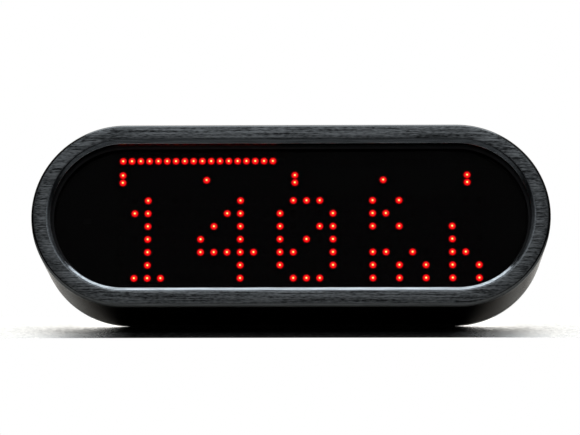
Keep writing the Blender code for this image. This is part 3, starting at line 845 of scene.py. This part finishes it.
def make_chip(node, piece, sides, count, pitch, width, reach=1.0 * MM):
    """A moulded chip with bent legs on the named sides, its foot at low Y and its marked top at high Y."""
    low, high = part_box(node)
    ways = {"left": (-1, 0), "right": (1, 0), "low": (0, -1), "high": (0, 1)}
    body_low, body_high = low.copy(), high.copy()
    for side in sides:
        x, z = ways[side]
        (body_low if x + z < 0 else body_high).xz -= Vector((x, z)) * reach
    part_line = (low.y + high.y) / 2
    foot = low.y - 0.15 * MM
    shape = Shape()
    draft = 0.12 * MM
    levels = ((draft, low.y), (0, part_line), (draft, high.y - draft), (2 * draft, high.y))
    shape.grid([block_loop(body_low, body_high, inset, y) for inset, y in levels])
    middle = (body_low + body_high) / 2
    half = (body_high - body_low) / 2
    legs = Shape()
    for side in sides:
        out = Vector((ways[side][0], 0, ways[side][1]))
        along = Vector((out.z, 0, out.x))
        edge = middle + Vector((out.x * half.x, 0, out.z * half.z))
        for i in range(count):
            root = edge + along * (i - (count - 1) / 2) * pitch
            add_leg(legs, root, out, width, reach, part_line, foot)
    legs.become(f"{piece}_legs", [MATERIALS["tin"]], sharp=25)
    chip = shape.become(piece, [MATERIALS["chip"]], [node], sharp=25)
    aside, dimple, depth = 1.2 * MM, 0.4 * MM, 0.12 * MM
    mark = (body_low.x + aside, body_high.z - aside)
    cut(chip, [(mark, dimple, dimple, high.y - depth, high.y + PAST)])


def make_capacitor(number):
    """An electrolytic can, necked in above its base, with a cross scored in its top."""
    node = f"capacitor_{number}"
    centre, radius, near, far = box_of(node)
    soft, neck, corner = 0.5 * MM, 0.25 * MM, 0.2 * MM
    profile = [(radius - corner, near), (radius, near + corner), (radius, near + 0.9 * MM)]
    profile += [(radius - neck, near + 1.2 * MM), (radius - neck, near + 1.5 * MM), (radius, near + 1.8 * MM)]
    profile += arc((radius - soft, far - soft), soft, 0, 90, 5) + [(radius - 0.9 * MM, far)]
    profile += [(radius - 1.0 * MM, far - 0.1 * MM)]
    shape = Shape()
    shape.grid([round_loop(centre, r, y) for r, y in profile])
    long, thin = radius - 1.4 * MM, 0.12 * MM
    deep, shallow = far - 0.12 * MM, far - 0.06 * MM
    for wide, tall in ((long, thin), (thin, long)):
        low = (centre[0] - wide, deep, centre[1] - tall)
        shape.box(low, (centre[0] + wide, shallow, centre[1] + tall), slot=1)
    shape.become(f"can_{number}", [MATERIALS["tin"], MATERIALS["chip"]], [node])


def make_crystal():
    """A pressed can with round ends, on a flanged base."""
    low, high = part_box("crystal")
    middle = (low.z + high.z) / 2
    flange = (high.z - low.z) / 2
    half = (high.x - low.x) / 2 - flange
    can, soft = flange - 0.45 * MM, 0.4 * MM
    profile = [(flange, low.y), (flange, low.y + 0.4 * MM), (can, low.y + 0.5 * MM)]
    profile += arc((can - soft, high.y - soft), soft, 0, 90, 5)
    shape = Shape()
    rows = []
    for radius, y in profile:
        loop = []
        for x, _, z in pill_loop(radius, y, steps=20):
            nearer = math.copysign(HALF - half, x)
            loop.append(((low.x + high.x) / 2 + x - nearer, y, z - MIDDLE + middle))
        rows.append(loop)
    shape.grid(rows)
    shape.become("crystal_can", [MATERIALS["nickel"]], ["crystal"])


def make_chips():
    rows = ("low", "high")
    for i in range(1, 4):
        make_chip(f"led_driver_{i}", f"driver_chip_{i}", rows, count=12, pitch=1.2 * MM, width=0.4 * MM)
    all_round = ("left", "right", "low", "high")
    make_chip("microcontroller", "processor_chip", all_round, count=12, pitch=0.65 * MM, width=0.28 * MM)
    tabs = {"count": 3, "pitch": 2.54 * MM, "width": 1.0 * MM, "reach": 1.8 * MM}
    make_chip("voltage_regulator", "regulator_chip", ("low",), **tabs)


def dress_nodes():
    """Gives each CAD node that stays its material."""
    plain = {
        "board_frame": "plastic", "board_header": "plastic", "led_board": "board", "logic_board": "logic",
        "light_sensor": "chip", "power_inductor": "chip", "button_switch": "chip", "switch_stem": "plastic",
        "socket_nut": "nickel", "cover_seal": "rubber", "socket_seal": "rubber", "button_seal": "rubber",
    }
    plain.update({f"board_spacer_{i}": "nickel" for i in range(1, 5)})
    for node, name in plain.items():
        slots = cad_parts[node].data.materials
        slots.clear()
        slots.append(MATERIALS[name])


# ---------------------------------------------------------------- stage


def make_stage():
    """A narrow lacquered shelf under the buffers' lower edges, smoothest where the instrument stands."""
    low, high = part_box("mount_buffer_left")
    foot = Vector((0, high.y - SHELF_INSET, low.z + SHELF_LIFT))
    along = Vector((0, math.cos(LEAN), math.sin(LEAN)))
    wide, near, far = SHELF_REACH
    corners = []
    for x, run in ((-wide, -near), (wide, -near), (wide, far), (-wide, far)):
        corners.append(Vector((x, 0, 0)) + foot + along * run)
    mesh = bpy.data.meshes.new("shelf")
    mesh.from_pydata(corners, [], [(0, 1, 2, 3)])
    material, nodes, links, shader = new_material("white_lacquer", (0.80, 0.78, 0.74), 0.5)
    gloss = nodes.new("ShaderNodeBsdfGlossy")
    gloss.inputs["Color"].default_value = (1, 1, 1, 1)
    place = nodes.new("ShaderNodeTexCoord").outputs["Object"]
    aside = calculate(nodes, links, "ABSOLUTE", along_axis(nodes, links, place, (1, 0, 0)))
    worn = remap(nodes, links, aside, *SHELF_POLISH)
    rubbed = remap(nodes, links, along_axis(nodes, links, place, (0, 1, 0)), *SHELF_RUB)
    speckle = remap(nodes, links, noise(nodes, links, (900, 250, 900), 3.0), 0.3, 0.7, 0.75, 1.25)
    even = calculate(nodes, links, "MULTIPLY", worn, rubbed)
    links.new(calculate(nodes, links, "MULTIPLY", even, speckle), gloss.inputs["Roughness"])
    slant = nodes.new("ShaderNodeLayerWeight")
    mix = nodes.new("ShaderNodeMixShader")
    sheen = remap(nodes, links, slant.outputs["Facing"], 0.88, 0.94, 0.04, 1.0)
    links.new(sheen, mix.inputs["Fac"])
    links.new(shader.outputs["BSDF"], mix.inputs[1])
    links.new(gloss.outputs["BSDF"], mix.inputs[2])
    links.new(mix.outputs["Shader"], nodes["Material Output"].inputs["Surface"])
    mesh.materials.append(material)
    shelf = bpy.data.objects.new("shelf", mesh)
    bpy.context.scene.collection.objects.link(shelf)


def add_light(name, place, target, size, energy, colour):
    data = bpy.data.lights.new(name, "AREA")
    data.shape = "RECTANGLE"
    data.size, data.size_y = size
    data.energy = energy
    data.color = colour
    light = bpy.data.objects.new(name, data)
    light.location = place
    light.rotation_euler = (Vector(target) - Vector(place)).to_track_quat("-Z", "Y").to_euler()
    bpy.context.scene.collection.objects.link(light)


def make_world():
    """A bright backdrop low behind, a dim room ahead, and darker paper in front of the shelf."""
    world = bpy.data.worlds.new("studio")
    world.use_nodes = True
    nodes, links = world.node_tree.nodes, world.node_tree.links
    direction = nodes.new("ShaderNodeTexCoord").outputs["Generated"]
    behind = along_axis(nodes, links, direction, (0, math.cos(LEAN), math.sin(LEAN)))
    up = along_axis(nodes, links, direction, (0, -math.sin(LEAN), math.cos(LEAN)))
    aside = calculate(nodes, links, "ABSOLUTE", along_axis(nodes, links, direction, (1, 0, 0)))

    def area(level, *limits):
        """A level of light, faded in or out by each (direction, where it is none, where it is full)."""
        light = None
        for value, none, full in limits:
            fade = remap(nodes, links, value, none, full, 0.0, level if light is None else 1.0)
            light = fade if light is None else calculate(nodes, links, "MULTIPLY", light, fade)
        return light

    backdrop = area(1.45, (behind, 0.12, 0.45), (aside, 0.65, 0.35), (up, -0.22, -0.04), (up, 0.85, 0.5))
    paper = area(0.11, (up, -0.12, -0.32), (behind, 0.1, -0.1))
    ahead = area(0.75, (behind, -0.10, -0.35), (aside, 1.0, 0.15), (up, 0.12, 0.45))
    warm = nodes.new("ShaderNodeBackground")
    warm.inputs["Color"].default_value = (1.0, 0.98, 0.93, 1)
    links.new(backdrop, warm.inputs["Strength"])
    cool = nodes.new("ShaderNodeBackground")
    cool.inputs["Color"].default_value = (0.92, 0.97, 1.0, 1)
    front = calculate(nodes, links, "ADD", paper, ahead)
    links.new(remap(nodes, links, front, 0.0, 1.0, 0.01, 1.01), cool.inputs["Strength"])
    room = nodes.new("ShaderNodeAddShader")
    links.new(warm.outputs["Background"], room.inputs[0])
    links.new(cool.outputs["Background"], room.inputs[1])
    seen = nodes["Background"]
    seen.inputs["Color"].default_value = (1, 1, 1, 1)
    path = nodes.new("ShaderNodeLightPath")
    mix = nodes.new("ShaderNodeMixShader")
    links.new(path.outputs["Is Camera Ray"], mix.inputs["Fac"])
    links.new(room.outputs["Shader"], mix.inputs[1])
    links.new(seen.outputs["Background"], mix.inputs[2])
    links.new(mix.outputs["Shader"], nodes["World Output"].inputs["Surface"])
    bpy.context.scene.world = world


def make_lights():
    add_light("overhead", (0, -0.02, 0.50), (0, 0, MIDDLE), (0.50, 0.34), 1.5, (0.90, 0.96, 1.0))
    make_world()
    bpy.context.scene.view_settings.view_transform = "Standard"


def make_camera():
    """Looks at the front face from below its normal, at the distance that the lens was set for."""
    turn = (
        Matrix.Rotation(-CAMERA_ROLL, 3, "Y")
        @ Matrix.Rotation(-CAMERA_TURN, 3, "Z")
        @ Matrix.Rotation(-CAMERA_BELOW, 3, "X")
    )
    to_view = turn.inverted()
    face = Vector((0, FRONT, MIDDLE))
    data = bpy.data.cameras.new("camera")
    data.lens = CAMERA_LENS
    data.sensor_width = 36
    data.clip_start = 0.01
    data.clip_end = 10
    camera = bpy.data.objects.new("camera", data)
    right, ahead, up = (to_view @ Vector(axis) for axis in ((1, 0, 0), (0, 1, 0), (0, 0, 1)))
    camera.location = face - ahead * CAMERA_DISTANCE - right * FRAMING.x - up * FRAMING.y
    camera.rotation_mode = "QUATERNION"
    camera.rotation_quaternion = Matrix((right, up, -ahead)).transposed().to_quaternion()
    bpy.context.scene.collection.objects.link(camera)
    bpy.context.scene.camera = camera


make_camera()
make_housing()
make_window()
make_leds()
make_cover()
for number in range(1, SCREWS + 1):
    make_screw(number)
for side in ("left", "right"):
    make_mount(side)
make_socket()
make_button()
make_chips()
for number in (1, 2):
    make_capacitor(number)
make_crystal()
dress_nodes()
make_stage()
make_lights()
